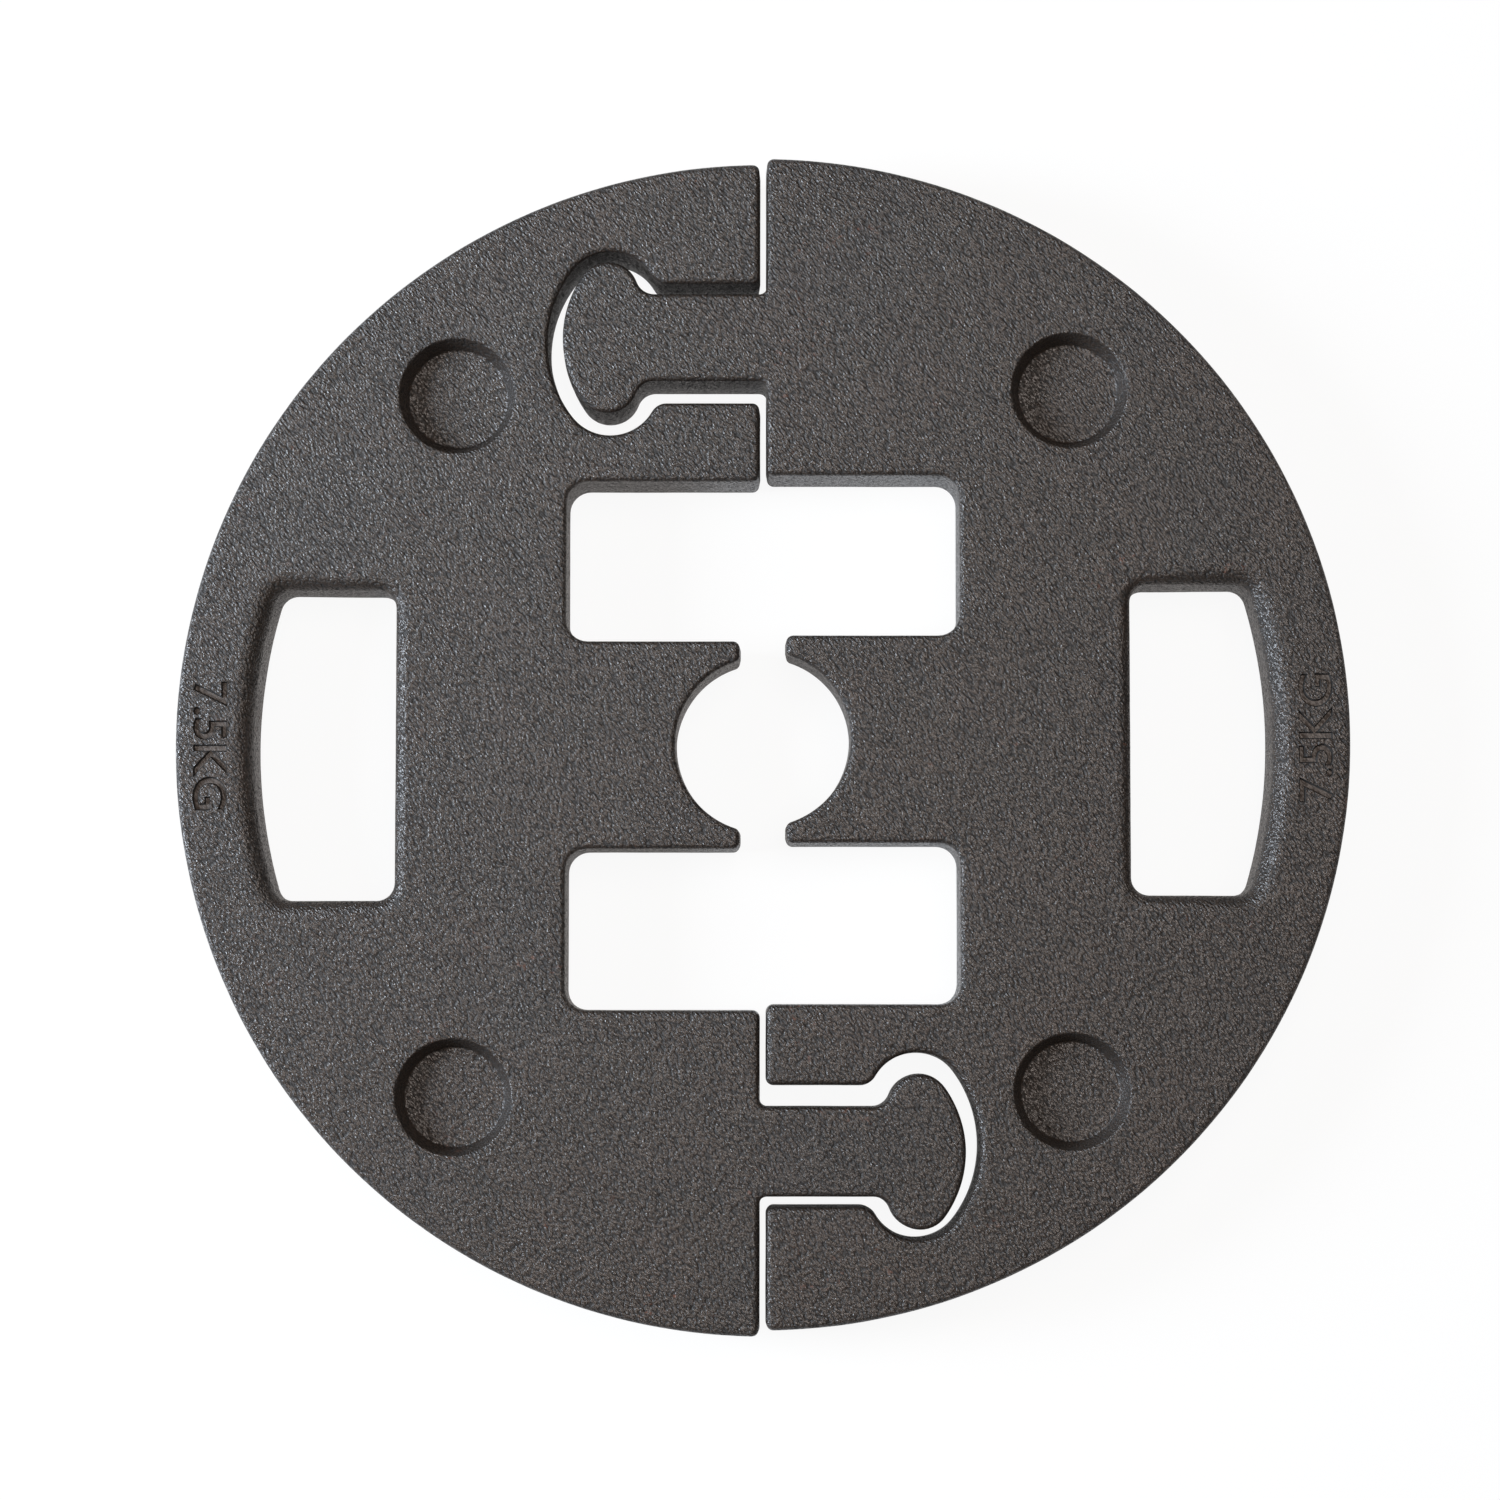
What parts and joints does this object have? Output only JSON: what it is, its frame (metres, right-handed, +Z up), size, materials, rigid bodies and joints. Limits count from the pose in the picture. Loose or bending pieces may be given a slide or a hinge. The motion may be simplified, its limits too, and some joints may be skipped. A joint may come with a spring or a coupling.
{
  "type": "interlocking tent leg weight",
  "caption": "Round cast iron leg weight in two like halves that lock with a jigsaw lug and socket, with a leg hole, foot openings, hand slots and stacking recesses.",
  "frame": {"origin": "middle of the assembled plate, on the surface that the studs stand on", "axes": "+Z up through the leg hole, +Y along the seam, +X from the left half to the right half"},
  "size_m": [0.35, 0.3518, 0.032],
  "materials": {
    "left_casting": "charcoal paint over sand-cast iron, fine orange-peel texture, satin",
    "right_casting": "charcoal paint over sand-cast iron, fine orange-peel texture, satin"
  },
  "bodies": {
    "left_half": {"left_half": "left_casting"},
    "right_half": {"right_half": "right_casting"}
  },
  "joints": [
    {"name": "lift_off", "type": "slide", "parent": "left_half", "child": "right_half", "axis": [0, 0, 1], "range_m": [0, 0.06]}
  ]
}
